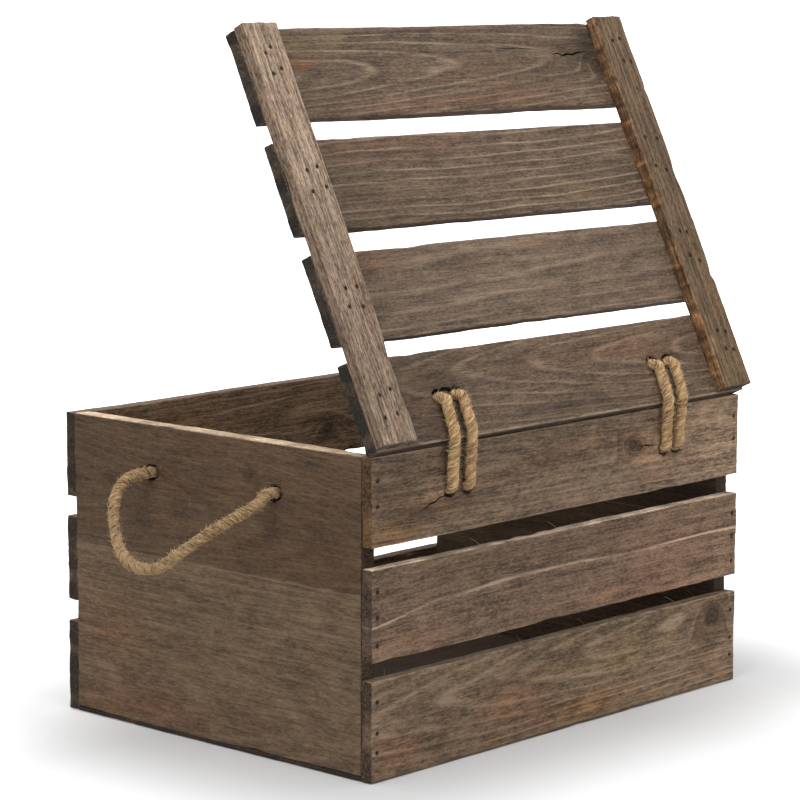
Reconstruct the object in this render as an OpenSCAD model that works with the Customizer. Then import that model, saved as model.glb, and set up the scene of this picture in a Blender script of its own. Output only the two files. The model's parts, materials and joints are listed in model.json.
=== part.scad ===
// Rustic slatted shipping crate with a slatted lid on rope hinges and rope handles.
// +Z is up, the hinge side is +Y and the origin is the centre of the underside.

/* [Crate] */
// Outer length of the crate
crate_l = 400; // [300:5:500]
// Outer depth, over both slatted sides
crate_d = 298; // [260:2:360]
// Height of the rim
crate_h = 216.5; // [216.5:0.5:240]
// Thickness of the end boards
end_t = 13; // [11:0.5:16]
// Height of the seam between the two end boards
end_seam_z = 124; // [100:1:150]
// Gap left by the saw between the two end boards
seam_gap = 0.5; // [0.2:0.1:1]
// Thickness of the thin sheet under the crate
base_t = 3; // [2.5:0.5:6]

/* [Side slats] */
// Thickness of every slat, lid slats included
slat_t = 9.5; // [8:0.5:12]
// Height of each slat on the hinge side, from the bottom up
back_slat_h = [68, 62, 59.5];
// Gap above the lower and the middle slat on the hinge side
back_slat_gap = [12.5, 14.5];
// Height of each slat on the front, from the bottom up
front_slat_h = [65, 61, 60.5];
// Gap above the lower and the middle slat on the front
front_slat_gap = [15.5, 14.5];

/* [Lid] */
// Opening angle of the lid as the crate is stored
lid_open = 64.3; // [40:0.1:90]
// Gap between the closed lid and the rim
rim_gap = 0.5; // [0.4:0.1:2]
// Width of each lid slat, from the hinge to the front
lid_slat_w = [61, 62.5, 64.5, 66];
// Gap in front of each of the first three lid slats
lid_slat_gap = [12.5, 15.5, 15];
// Width of the two battens across the lid
batten_w = 32; // [26:1:40]
// Thickness of the battens
batten_t = 9.5; // [8:0.5:14]
// Length of the battens
batten_l = 298; // [290:1:300]

/* [Rope] */
// Diameter of the rope
rope_d = 8; // [7:0.5:8.5]
// Diameter of the holes that the rope goes through
hole_d = 11; // [10.5:0.5:13]
// Diameter of the stopper knots of the handles
handle_knot_d = 18; // [16:0.5:20]
// Diameter of the stopper knots of the hinges
hinge_knot_d = 16; // [14:0.5:17]
// Height of the handle holes
handle_z = 183; // [170:1:195]
// Distance between the two holes of a handle
handle_span = 120; // [110:2:140]
// Distance of the lid's rope holes from its hinge edge
lid_hole_v = 28.8; // [26:0.2:32]
// Depth of the crate's rope holes below the rim
crate_hole_drop = 29.5; // [28:0.5:32]

/* [Nails] */
// Diameter of the nail heads
nail_d = 2.2; // [1.6:0.1:3]
// Length of the nails through the side slats
side_nail_l = 22; // [16:1:22]
// Length of the nails through the lid battens
lid_nail_l = 17; // [12:1:18]
// Depth of the nail heads below the surface
nail_sink = 0.6; // [0.2:0.1:1.5]

/* [Hidden] */

$fn = 48;
wood_dark = [0.42, 0.35, 0.28];
wood_mid = [0.47, 0.40, 0.33];
wood_pale = [0.56, 0.49, 0.42];
jute = [0.72, 0.58, 0.38];
steel = [0.16, 0.14, 0.13];

half_l = crate_l / 2;
half_d = crate_d / 2;
rope_r = rope_d / 2;

// The lid turns about a line in the middle of its slats, just inside its hinge edge.
pivot_y = half_d - 2;
pivot_z = crate_h + 5;
lid_under_z = crate_h + rim_gap;

// Sum of the first n entries of a list.
function sum(list, n) = n == 0 ? 0 : list[n - 1] + sum(list, n - 1);
// Lower edge of strip i in a row of strips with gaps between them.
function strip_start(widths, gaps, i) = sum(widths, i) + sum(gaps, i);

// Y and Z of a point on the open lid: v from the hinge edge, w up from the underside.
function lid_point(v, w) =
    let (y = half_d - v - pivot_y, z = lid_under_z + w - pivot_z, a = -lid_open)
    [pivot_y + y * cos(a) - z * sin(a), pivot_z + y * sin(a) + z * cos(a)];

// Rope holes along X, in the lid and in the upper back slat: [outer, inner] of each pair.
lid_hole_x = [[124.5, 107], [-125, -106.5]];
crate_hole_x = [[123, 105.5], [-124, -110]];

// One strand of a hinge rope on the lid, from the knot under it: [v, w].
strand_on_lid = [[28.8, 0.5], [28.4, 9.5], [25.8, 13.8], [19, 14.4], [1, 14.4]];
// The same strand on the crate: [distance out of the back face, depth below the rim].
strand_on_crate = [[7.4, 0], [5.1, 17], [4, 25], [1, 28.5], [-8.5, 29.4], [-14, 29.5]];
// Share of the way from the lid hole to the crate hole along X, for each point above.
strand_share = [0, 0, 0, 0.1, 0.4, 0.6, 0.9, 1, 1, 1, 1];
// How far each of those points wanders along X.
strand_bow = [0, 0, 0, 1.2, 3.6, 4.2, 3.6, 2.4, 0.8, 0, 0];

function strand(side, k) =
    let (yz = concat([for (p = strand_on_lid) lid_point(p[0], p[1])],
                     [for (p = strand_on_crate) [half_d + p[0], crate_h - p[1]]]),
         x0 = lid_hole_x[side][k],
         x1 = crate_hole_x[side][k])
    [for (i = [0 : len(yz) - 1]) [x0 + (x1 - x0) * strand_share[i] + strand_bow[i], yz[i][0], yz[i][1]]];

// The bend that joins the two strands inside the crate.
function bight(side) =
    let (a = crate_hole_x[side][0], b = crate_hole_x[side][1],
         mid = (a + b) / 2, r = (a - b) / 2, y = half_d - 14)
    [for (t = [45, 90, 135]) [mid + r * cos(t), y - abs(r) * sin(t), crate_h - crate_hole_drop]];

function reversed(list) = [for (i = [len(list) - 1 : -1 : 0]) list[i]];
function hinge_route(side) = concat(strand(side, 0), bight(side), reversed(strand(side, 1)));

// A handle, from one of its pivots to the other:
// [distance out of the end board, distance from the middle, depth below the holes].
pivot_out = 7.5;
handle_points = [[7.5, -60, 0], [17, -62, 1], [28, -62, 7], [37, -58, 18], [44, -50, 30],
                 [53, -35, 43], [59, -14, 51], [61, 10, 49], [58, 29, 37], [48, 44, 24],
                 [33, 54, 14], [16, 61, 5], [7.5, 60, 0]];
// The span that those distances were drawn for.
drawn_span = 120;
// The rope inside the hole stops short of the round end of the handle.
stub_end = pivot_out - rope_r - 0.4;

function handle_route(side) =
    [for (p = handle_points)
        [side * (half_l + p[0]), side * p[1] * handle_span / drawn_span, handle_z - p[2]]];

// ---- a tube swept along a route ----

function unit(v) = v / norm(v);
function tangent(route, i) =
    i == 0 ? unit(route[1] - route[0]) :
    i == len(route) - 1 ? unit(route[i] - route[i - 1]) :
    unit(unit(route[i + 1] - route[i]) + unit(route[i] - route[i - 1]));
// Each ring's first direction is the last one, straightened square to the new tangent.
function carried(u, t) = unit(u - t * (u * t));
function sides_of(route, u0) =
    [for (i = 0, u = carried(u0, tangent(route, 0)); i < len(route);
          i = i + 1, u = i < len(route) ? carried(u, tangent(route, i)) : u) u];

// radii holds one radius for each point of the route.
module tube(route, radii, u0, sides = 10) {
    us = sides_of(route, u0);
    rings = [for (i = [0 : len(route) - 1])
        let (t = tangent(route, i), u = us[i], w = cross(t, u))
        for (k = [0 : sides - 1])
            let (a = 360 * k / sides)
            route[i] + radii[i] * (u * cos(a) + w * sin(a))];
    n = len(route);
    walls = [for (i = [0 : n - 2], k = [0 : sides - 1])
        let (a = i * sides + k, b = i * sides + (k + 1) % sides)
        each [[a, b + sides, b], [a, a + sides, b + sides]]];
    polyhedron(points = rings,
               faces = concat([[for (k = [0 : sides - 1]) k]], walls,
                              [[for (k = [sides - 1 : -1 : 0]) (n - 1) * sides + k]]));
}

// ---- boards and nails ----

// A board lying along X with its lower front left corner at the given point.
module board(corner, size) {
    translate(corner) cube(size);
}

// The two rope holes of one hinge, bored along +Z through anything at z = 0.
module hole_pair(xs, y, depth) {
    for (x = xs)
        translate([x, y, -1]) cylinder(d = hole_d, h = depth + 2);
}

// A nail with its head at z = -nail_sink, pointing down.
module nail(length) {
    translate([0, 0, -nail_sink - length]) cylinder(d = nail_d, h = length, $fn = 16);
}

// ---- crate ----

module base_sheet() {
    color(wood_mid)
        board([-half_l, slat_t - half_d, 0], [crate_l, crate_d - 2 * slat_t, base_t]);
}

module end_board(side, z0, z1) {
    x0 = side > 0 ? half_l - end_t : -half_l;
    board([x0, slat_t - half_d, z0], [end_t, crate_d - 2 * slat_t, z1 - z0]);
}

module end_lower(side) {
    color(wood_mid) end_board(side, base_t, end_seam_z - seam_gap);
}

module end_upper(side) {
    color(wood_dark)
        difference() {
            end_board(side, end_seam_z, crate_h);
            for (y = [-1, 1])
                translate([side * (half_l - end_t / 2), y * handle_span / 2, handle_z])
                    rotate([0, 90, 0]) cylinder(d = hole_d, h = end_t + 2, center = true);
        }
}

module end_right_lower() { end_lower(1); }
module end_right_upper() { end_upper(1); }
module end_left_lower() { end_lower(-1); }
module end_left_upper() { end_upper(-1); }

module front_slat(i) {
    color(wood_dark)
        board([-half_l, -half_d, strip_start(front_slat_h, front_slat_gap, i)],
              [crate_l, slat_t, front_slat_h[i]]);
}

module front_slat_lower() { front_slat(0); }
module front_slat_middle() { front_slat(1); }
module front_slat_upper() { front_slat(2); }

module back_slat(i) {
    board([-half_l, half_d - slat_t, strip_start(back_slat_h, back_slat_gap, i)],
          [crate_l, slat_t, back_slat_h[i]]);
}

module back_slat_lower() { color(wood_mid) back_slat(0); }
module back_slat_middle() { color(wood_mid) back_slat(1); }
module back_slat_upper() {
    color(wood_mid)
        difference() {
            back_slat(2);
            for (side = [0, 1])
                translate([0, half_d, crate_h - crate_hole_drop])
                    rotate([90, 0, 0]) hole_pair(crate_hole_x[side], 0, slat_t);
        }
}

// Nails through the slat ends into the end boards: height of each above its slat's lower edge.
side_nail_z = [[20, 33, 54], [11, 30, 47], [27, 44]];
side_nail_inset = 5.5;

module side_nails(slat_h, gaps, face) {
    for (i = [0 : 2], dz = side_nail_z[i], x = [-1, 1])
        translate([x * (half_l - side_nail_inset), face * half_d, strip_start(slat_h, gaps, i) + dz])
            rotate([face > 0 ? -90 : 90, 0, 0]) nail(side_nail_l);
}

module front_nails() { color(steel) side_nails(front_slat_h, front_slat_gap, -1); }
module back_nails() { color(steel) side_nails(back_slat_h, back_slat_gap, 1); }

// Nails up through the thin base into the end boards.
base_nail_pitch = 58;
module base_nails() {
    color(steel)
        for (x = [-1, 1], i = [-2 : 2])
            translate([x * (half_l - end_t / 2), i * base_nail_pitch, 0]) mirror([0, 0, 1]) nail(side_nail_l);
}

// ---- lid, drawn closed and then opened about its hinge line ----

module opened() {
    translate([0, pivot_y, pivot_z])
        rotate([-lid_open, 0, 0])
            translate([0, -pivot_y, -pivot_z]) children();
}

module lid_slat(i) {
    v0 = strip_start(lid_slat_w, lid_slat_gap, i);
    board([-half_l, half_d - v0 - lid_slat_w[i], lid_under_z], [crate_l, lid_slat_w[i], slat_t]);
}

module lid_slat_hinge() {
    color(wood_dark)
        opened() difference() {
            lid_slat(0);
            for (side = [0, 1])
                translate([0, half_d - lid_hole_v, lid_under_z]) hole_pair(lid_hole_x[side], 0, slat_t);
        }
}

module lid_slat_second() { color(wood_mid) opened() lid_slat(1); }
module lid_slat_third() { color(wood_dark) opened() lid_slat(2); }
module lid_slat_front() { color(wood_mid) opened() lid_slat(3); }

module lid_batten(side) {
    x0 = side > 0 ? half_l - batten_w : -half_l;
    color(wood_pale)
        opened() board([x0, half_d - batten_l, lid_under_z + slat_t], [batten_w, batten_l, batten_t]);
}

module lid_batten_right() { lid_batten(1); }
module lid_batten_left() { lid_batten(-1); }

// Four nails where each batten crosses a slat, hinge slat first: [inset from the slat's end, up the slat].
lid_nails_right = [[[8.5, 18.5], [21, 20], [10.5, 34], [21.8, 37]], [[10.3, 22], [23, 21], [12.3, 34.7], [23, 35]],
                   [[12.6, 25], [26.5, 27.5], [13.5, 40], [24, 42]], [[12.9, 29.6], [21.8, 33], [12.2, 44.5], [18.4, 48.7]]];
lid_nails_left = [[[7.5, 28], [15.5, 29.4], [9, 42], [18, 44]], [[9.5, 25.5], [18.5, 30.2], [12.5, 48.6], [20, 50]],
                  [[10, 20.7], [20.5, 24.5], [8, 46], [21, 47.7]], [[6, 29.3], [14, 30], [10, 48], [19, 46.6]]];

module lid_nails() {
    color(steel)
        opened()
            for (i = [0 : 3], side = [-1, 1], p = (side > 0 ? lid_nails_right : lid_nails_left)[i])
                translate([side * (half_l - p[0]),
                           half_d - strip_start(lid_slat_w, lid_slat_gap, i) - p[1],
                           lid_under_z + slat_t + batten_t])
                    nail(lid_nail_l);
}

// ---- ropes ----

module hinge_rope(side) {
    route = hinge_route(side);
    color(jute) tube(route, [for (p = route) rope_r], [1, 0, 0]);
}

module hinge_rope_right() { hinge_rope(0); }
module hinge_rope_left() { hinge_rope(1); }

// A stopper knot below z = 0, with a flat where it bears on the wood.
module knot(d) {
    difference() {
        translate([0, 0, -d * 0.3]) sphere(d = d);
        translate([-d, -d, 0]) cube(2 * d);
    }
}

module hinge_knots(side) {
    color(jute)
        opened()
            for (x = lid_hole_x[side])
                translate([x, half_d - lid_hole_v, lid_under_z]) knot(hinge_knot_d);
}

module hinge_knots_right() { hinge_knots(0); }
module hinge_knots_left() { hinge_knots(1); }

module handle_rope(side) {
    route = handle_route(side);
    last = len(route) - 1;
    // Smaller rings that round off each end about its pivot.
    ends = [for (share = [0.4, 0.85]) share * rope_r];
    start = [for (r = ends) route[0] - [side * sqrt(rope_r * rope_r - r * r), 0, 0]];
    finish = [for (r = ends) route[last] - [side * sqrt(rope_r * rope_r - r * r), 0, 0]];
    color(jute)
        tube(concat(start, route, reversed(finish)),
             concat(ends, [for (p = route) rope_r], reversed(ends)), [0, 0, 1]);
}

module handle_rope_right() { handle_rope(1); }
module handle_rope_left() { handle_rope(-1); }

// The knot behind each handle hole, with the rope that runs through the hole.
module handle_knots(side) {
    color(jute)
        for (y = [-1, 1])
            translate([side * (half_l - end_t), y * handle_span / 2, handle_z])
                rotate([0, side * 90, 0]) union() {
                    knot(handle_knot_d);
                    translate([0, 0, -rope_r]) cylinder(d = rope_d, h = rope_r + end_t + stub_end);
                }
}

module handle_knots_right() { handle_knots(1); }
module handle_knots_left() { handle_knots(-1); }

base_sheet();
end_right_lower();
end_right_upper();
end_left_lower();
end_left_upper();
front_slat_lower();
front_slat_middle();
front_slat_upper();
back_slat_lower();
back_slat_middle();
back_slat_upper();
front_nails();
back_nails();
base_nails();
lid_slat_hinge();
lid_slat_second();
lid_slat_third();
lid_slat_front();
lid_batten_right();
lid_batten_left();
lid_nails();
hinge_rope_right();
hinge_rope_left();
hinge_knots_right();
hinge_knots_left();
handle_rope_right();
handle_rope_left();
handle_knots_right();
handle_knots_left();
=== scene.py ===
import json
import math

import bmesh
import bpy
import numpy as np
from mathutils import Matrix, Vector


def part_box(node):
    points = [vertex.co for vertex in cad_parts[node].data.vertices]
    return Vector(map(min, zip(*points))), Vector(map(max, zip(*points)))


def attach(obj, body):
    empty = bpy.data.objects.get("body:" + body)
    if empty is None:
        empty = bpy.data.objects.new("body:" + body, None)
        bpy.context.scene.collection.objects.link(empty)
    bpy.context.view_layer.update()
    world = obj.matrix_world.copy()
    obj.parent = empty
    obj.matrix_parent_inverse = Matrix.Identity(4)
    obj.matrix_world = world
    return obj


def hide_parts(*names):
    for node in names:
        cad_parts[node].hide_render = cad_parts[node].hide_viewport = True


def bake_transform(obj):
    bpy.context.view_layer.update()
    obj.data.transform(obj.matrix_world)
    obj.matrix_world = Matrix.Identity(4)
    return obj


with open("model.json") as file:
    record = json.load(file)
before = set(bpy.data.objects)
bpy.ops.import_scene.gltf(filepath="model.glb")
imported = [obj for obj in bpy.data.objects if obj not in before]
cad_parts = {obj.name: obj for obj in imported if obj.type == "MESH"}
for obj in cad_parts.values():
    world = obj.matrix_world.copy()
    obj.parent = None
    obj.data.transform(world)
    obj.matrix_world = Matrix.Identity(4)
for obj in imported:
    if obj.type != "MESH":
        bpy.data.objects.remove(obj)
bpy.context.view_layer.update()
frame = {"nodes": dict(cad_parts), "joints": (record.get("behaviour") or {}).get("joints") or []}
MM = 0.001


# ---- camera

def place_camera():
    azimuth, elevation, roll = (math.radians(d) for d in (132.402, 8.309, 0.164))
    back = Vector((math.sin(azimuth) * math.cos(elevation),
                   -math.cos(azimuth) * math.cos(elevation), math.sin(elevation)))
    right = Vector((math.cos(azimuth), math.sin(azimuth), 0))
    up = back.cross(right)
    right, up = (right * math.cos(roll) + up * math.sin(roll),
                 up * math.cos(roll) - right * math.sin(roll))
    data = bpy.data.cameras.new("camera")
    data.lens, data.sensor_width = 134.25, 36
    data.clip_start, data.clip_end = 0.05, 200
    camera = bpy.data.objects.new("camera", data)
    camera.matrix_world = Matrix((right, up, back)).transposed().to_4x4()
    camera.location = (1.59087, 1.44341, 0.53227)
    bpy.context.scene.collection.objects.link(camera)
    bpy.context.scene.camera = camera


place_camera()


# ---- sizes shared with the crate's frame

hinge = next(j for j in frame["joints"] if j["name"] == "lid_hinge")
LID_OPEN = -math.radians(hinge["range_deg"][0])
PIVOT = Vector(hinge["pos_m"])
open_lid = (Matrix.Translation(PIVOT) @ Matrix.Rotation(-LID_OPEN, 4, "X")
            @ Matrix.Translation(-PIVOT))

END_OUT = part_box("end_right_upper")[1].x
BACK_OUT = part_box("back_slat_upper")[1].y
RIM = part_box("back_slat_upper")[1].z
END_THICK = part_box("end_right_upper")[1].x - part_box("end_right_upper")[0].x
LID_UNDER = 217 * MM
ROPE = 8 * MM
ROPE_STEP = 0.9 * MM                              # between two rings of a rope's mesh
SHARP = math.radians(48)                          # a board's faces that meet at more than this keep their edge

HANDLE_Z = 183 * MM
HANDLE_HOLE_Y = 60 * MM
LID_HOLE_X = [[124.5, 107], [-125, -106.5]]
CRATE_HOLE_X = [[123, 105.5], [-124, -110]]
LID_HOLE_V = 28.8
CRATE_HOLE_DROP = 29.5
UPPER_SLAT_FOOT, END_SEAM = 157, 124              # heights of the upper back slat's foot and the ends' seam


def lid_point(v, w):
    """Y and Z, in millimetres, of a point on the open lid: v from its hinge edge, w up from its underside."""
    turned = open_lid @ Vector((0, BACK_OUT - v * MM, LID_UNDER + w * MM))
    return turned.y / MM, turned.z / MM


# ---- random shapes that are the same every run

def ease(t):
    return t * t * (3 - 2 * t)


def wander(u, pitch, seed):
    """A smooth random line over u, about -1 to 1."""
    u = (u - u.min()) / pitch
    knots = np.random.default_rng(seed).uniform(-1, 1, int(u.max()) + 3)
    i = u.astype(int)
    f = ease(u - i)
    return knots[i] * (1 - f) + knots[i + 1] * f


def rumple(u, v, pitch_u, pitch_v, seed):
    """A smooth random sheet over u and v, about -1 to 1."""
    u, v = (u - u.min()) / pitch_u, (v - v.min()) / pitch_v
    grid = np.random.default_rng(seed).uniform(-1, 1, (int(u.max()) + 3, int(v.max()) + 3))
    i, j = u.astype(int), v.astype(int)
    fu, fv = ease(u - i), ease(v - j)
    return ((grid[i, j] * (1 - fu) + grid[i + 1, j] * fu) * (1 - fv)
            + (grid[i, j + 1] * (1 - fu) + grid[i + 1, j + 1] * fu) * fv)


def smooth_path(points, step):
    """Points one step apart on a smooth curve through the given points."""
    p = np.array(points, float)
    p = np.vstack([2 * p[0] - p[1], p, 2 * p[-1] - p[-2]])
    gaps = np.sqrt(np.linalg.norm(np.diff(p, axis=0), axis=1))
    knots = np.concatenate([[0], np.cumsum(gaps)])
    dense = []
    for i in range(1, len(p) - 2):
        t0, t1, t2, t3 = knots[i - 1:i + 3]
        for t in np.linspace(t1, t2, 24, endpoint=False):
            a1 = (t1 - t) / (t1 - t0) * p[i - 1] + (t - t0) / (t1 - t0) * p[i]
            a2 = (t2 - t) / (t2 - t1) * p[i] + (t - t1) / (t2 - t1) * p[i + 1]
            a3 = (t3 - t) / (t3 - t2) * p[i + 1] + (t - t2) / (t3 - t2) * p[i + 2]
            b1 = (t2 - t) / (t2 - t0) * a1 + (t - t0) / (t2 - t0) * a2
            b2 = (t3 - t) / (t3 - t1) * a2 + (t - t1) / (t3 - t1) * a3
            dense.append((t2 - t) / (t2 - t1) * b1 + (t - t1) / (t2 - t1) * b2)
    dense = np.array(dense + [p[-2]])
    run = np.concatenate([[0], np.cumsum(np.linalg.norm(np.diff(dense, axis=0), axis=1))])
    even = np.linspace(0, run[-1], max(4, round(run[-1] / step)))
    return np.stack([np.interp(even, run, dense[:, k]) for k in range(p.shape[1])], 1)


def add_mesh(name, verts, faces, material=None):
    mesh = bpy.data.meshes.new(name)
    mesh.from_pydata([tuple(v) for v in verts], [], [tuple(f) for f in faces])
    mesh.update()
    if material:
        mesh.materials.append(material)
    obj = bpy.data.objects.new(name, mesh)
    bpy.context.scene.collection.objects.link(obj)
    return obj


def note(mesh, name, kind, values):
    """Writes one value for each vertex as a named attribute."""
    attribute = mesh.attributes.new(name, kind, "POINT")
    key = {"FLOAT": "value", "FLOAT_VECTOR": "vector", "FLOAT_COLOR": "color"}[kind]
    attribute.data.foreach_set(key, np.asarray(values, np.float32).ravel())


def bake_modifiers(obj):
    """Turns what the modifiers make into the plain mesh of obj."""
    seen = obj.evaluated_get(bpy.context.evaluated_depsgraph_get())
    mesh = bpy.data.meshes.new_from_object(seen)
    obj.modifiers.clear()
    old, obj.data = obj.data, mesh
    mesh.name = obj.name
    bpy.data.meshes.remove(old)


# ---- shader maths

def add_node(tree, kind, settings, inputs):
    """One new node. An input is given a value, or another node's output to link from."""
    made = tree.nodes.new(kind)
    for key, value in (settings or {}).items():
        setattr(made, key, value)
    for key, value in (inputs or {}).items():
        socket = pick(made.inputs, key)
        if isinstance(value, bpy.types.NodeSocket):
            tree.links.new(value, socket)
        elif hasattr(value, "__len__") and socket.type == "RGBA" and len(value) == 3:
            socket.default_value = (*value, 1)
        else:
            socket.default_value = value
    return made


def pick(sockets, key):
    """A socket by its place, or the one in use that has this name or identifier."""
    if isinstance(key, int):
        return sockets[key]
    return next(s for s in sockets if key in (s.identifier, s.name) and s.enabled)


def arithmetic(operation, swapped=False):
    """A method that adds one Math node."""
    def method(term, other):
        a, b = (other, term) if swapped else (term, other)
        return term.finish.node("ShaderNodeMath", {"operation": operation}, {0: a, 1: b})
    return method


class Term:
    """One output socket; arithmetic on it adds Math nodes."""

    def __init__(self, finish, socket):
        self.finish, self.socket = finish, socket

    __add__, __radd__ = arithmetic("ADD"), arithmetic("ADD", True)
    __sub__, __rsub__ = arithmetic("SUBTRACT"), arithmetic("SUBTRACT", True)
    __mul__, __rmul__ = arithmetic("MULTIPLY"), arithmetic("MULTIPLY", True)
    __mod__ = arithmetic("FLOORED_MODULO")


class Finish:
    """The node tree of one material."""

    def __init__(self, name):
        self.material = bpy.data.materials.new(name)
        self.material.use_nodes = True
        self.tree = self.material.node_tree
        self.tree.nodes.clear()

    def node(self, kind, settings=None, inputs=None, out=0):
        plain = {key: value.socket if isinstance(value, Term) else value for key, value in (inputs or {}).items()}
        return Term(self, pick(add_node(self.tree, kind, settings, plain).outputs, out))

    def attribute(self, name, out="Fac"):
        return self.node("ShaderNodeAttribute", {"attribute_name": name}, out=out)

    def vector(self, operation, *values, out="Vector"):
        return self.node("ShaderNodeVectorMath", {"operation": operation}, dict(enumerate(values)), out)

    def noise(self, vector, scale, detail=2.0, roughness=0.5, distortion=0.0):
        """Noise about 0 on a vector stretched by scale."""
        made = self.node("ShaderNodeTexNoise", {}, {
            "Vector": self.vector("MULTIPLY", vector, scale), "Scale": 1.0, "Detail": detail,
            "Roughness": roughness, "Distortion": distortion}, "Fac")
        return made - 0.5

    def between(self, value, low, high, to_low=0.0, to_high=1.0):
        """0 below low and 1 above high, with a smooth step between."""
        return self.node("ShaderNodeMapRange", {"interpolation_type": "SMOOTHSTEP"}, {
            "Value": value, "From Min": low, "From Max": high, "To Min": to_low, "To Max": to_high})

    def mix(self, factor, a, b, blend="MIX"):
        return self.node("ShaderNodeMix", {"data_type": "RGBA", "blend_type": blend, "clamp_factor": True},
                         {"Factor_Float": factor, "A_Color": a, "B_Color": b}, "Result_Color")

    def surface(self, height, distance, strength=1.0, **sockets):
        """Closes the tree with a Principled shader whose normal follows height."""
        bump = self.node("ShaderNodeBump", {}, {"Height": height, "Distance": distance, "Strength": strength})
        return self.close(self.node("ShaderNodeBsdfPrincipled", {}, {"Normal": bump, **sockets}))

    def close(self, shader):
        add_node(self.tree, "ShaderNodeOutputMaterial", {}, {"Surface": shader.socket})
        return self.material


def stained_pine(name, dark, light, line, fibre=1.0, rings=1.0, sharp=0.2, pores=0.3, red=0.5):
    """Weathered, dark stained pine. It reads what each board notes on its mesh."""
    f = Finish(name)
    grain = f.attribute("grain", "Vector")
    ring, knot = f.attribute("ring"), f.attribute("knot")
    edge, cut, pit = f.attribute("edge"), f.attribute("cut"), f.attribute("pit")
    stain, figure = f.attribute("stain", "Color"), f.attribute("stain", "Alpha")

    def dyed(colour, factor, tint):
        return f.mix(factor, colour, f.mix(1.0, colour, tint, "MULTIPLY"))

    long_fibre = f.noise(grain, (34, 560, 560), 4, 0.68)
    strand = f.noise(grain, (12, 200, 200), 3, 0.65)
    short_fibre = f.noise(grain, (230, 900, 900), 3, 0.75)
    blotch = f.noise(grain, (10, 24, 24), 3, 0.6, 0.5)
    cloud = f.noise(grain, (55, 110, 110), 3, 0.7)

    # Year rings: a pale, thin, broken line of late wood at the end of each ring.
    drift = f.noise(grain, (8, 42, 42), 2)
    count = ring + drift * 1.1 + long_fibre * 0.30 + short_fibre * 0.15
    phase = count % 1.0
    late = f.between(phase, 1 - sharp * 2, 1 - sharp * 0.9) - f.between(phase, 1 - sharp * 0.8, 1.0)
    early = f.between(phase, 0.5, 0.05) * 0.6
    broken = f.between(f.noise(grain, (11, 70, 70), 2) + strand * 0.5, -0.16, 0.12, 0.25, 1.0)
    late = late * broken * f.between(long_fibre + short_fibre * 0.6, -0.16, 0.08, 0.5, 1.0)

    pale = (0.47 + blotch * 0.75 + cloud * 0.9 + strand * 0.7 * fibre + long_fibre * 1.5 * fibre
            + short_fibre * 2.2 * fibre - early * 0.2 * rings)
    wood = f.mix(pale, dark, light)
    wood = f.mix(late * figure * rings, wood, line)
    wood = dyed(wood, f.between(f.noise(grain, (6, 38, 60), 3, 0.6), 0.02, 0.2) * red, (1.10, 0.93, 0.86))
    streak = f.between(f.noise(grain, (13, 520, 520), 2, 0.6) + blotch * 0.35, 0.10, 0.24)
    wood = dyed(wood, streak * 0.55 * fibre, (0.58, 0.53, 0.48))
    dashes = f.between(f.noise(grain, (170, 1700, 1700), 1), 0.13, 0.22)
    wood = dyed(wood, dashes * pores, (0.35, 0.32, 0.3))
    scuff = f.between(f.noise(grain, (120, 330, 330), 3, 0.75) + cloud * 0.4, 0.13, 0.27)
    wood = f.mix(scuff * 0.30, wood, line)
    # Each board's colour factors: real tone and discolouring, with painted light and shade on some patches, the inside
    # faces and the top arrises.
    wood = f.mix(1.0, wood, stain, "MULTIPLY")

    # A knot: a dark broken heart, with dark wood pulled round it.
    torn = f.noise(grain, (170, 230, 230), 3, 0.7)
    heart = f.between(knot + torn * 1.5, 1.0, 0.72)
    heart_rings = f.between((knot * 2.3 + torn * 2.2) % 1.0, 0.15, 0.85)
    heart_wood = f.mix(heart_rings, (0.022, 0.013, 0.008), (0.085, 0.053, 0.032))
    wood = dyed(wood, f.between(knot + torn * 2.0 + drift * 1.4, 2.9, 0.8) * 0.62, (0.52, 0.44, 0.36))
    wood = f.mix(heart * 0.85, wood, heart_wood)

    # Bare wood on rubbed arrises, soaked stain on the sawn ends and round the holes.
    rubbed = f.between(edge + f.noise(grain, (70, 260, 260), 3, 0.75) * 1.5, 0.60, 0.95)
    wood = f.mix(rubbed * 0.5, wood, line)
    sawn = f.noise(grain, (620, 620, 620), 3, 0.75)
    soaked = f.mix(f.between(sawn, -0.13, 0.16), (0.008, 0.006, 0.004), (0.095, 0.063, 0.041))
    frayed = f.between(f.noise(grain, (700, 1000, 420), 3, 0.75) + cloud * 0.3, 0.10, 0.22)
    soaked = f.mix(frayed * 0.75, soaked, (0.36, 0.27, 0.19))
    wood = f.mix(cut, wood, f.mix(1.0, soaked, stain, "MULTIPLY"))
    # Painted shade: near black in the nail pits and down the cracks.
    wood = f.mix(pit, wood, (0.007, 0.005, 0.004))

    height = (long_fibre * 0.9 + short_fibre * 0.8 + strand * 0.4 + late * 0.25 - streak * 0.25
              + cut * (f.noise(grain, (900, 900, 900), 2) * 1.6 + frayed * 1.2))
    rough = f.between(long_fibre + blotch * 0.6, -0.25, 0.25, 0.62, 0.84) + pit
    return f.surface(height, 0.0007, 0.75, **{"Base Color": wood, "Roughness": rough, "Specular IOR Level": 0.3})


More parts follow.
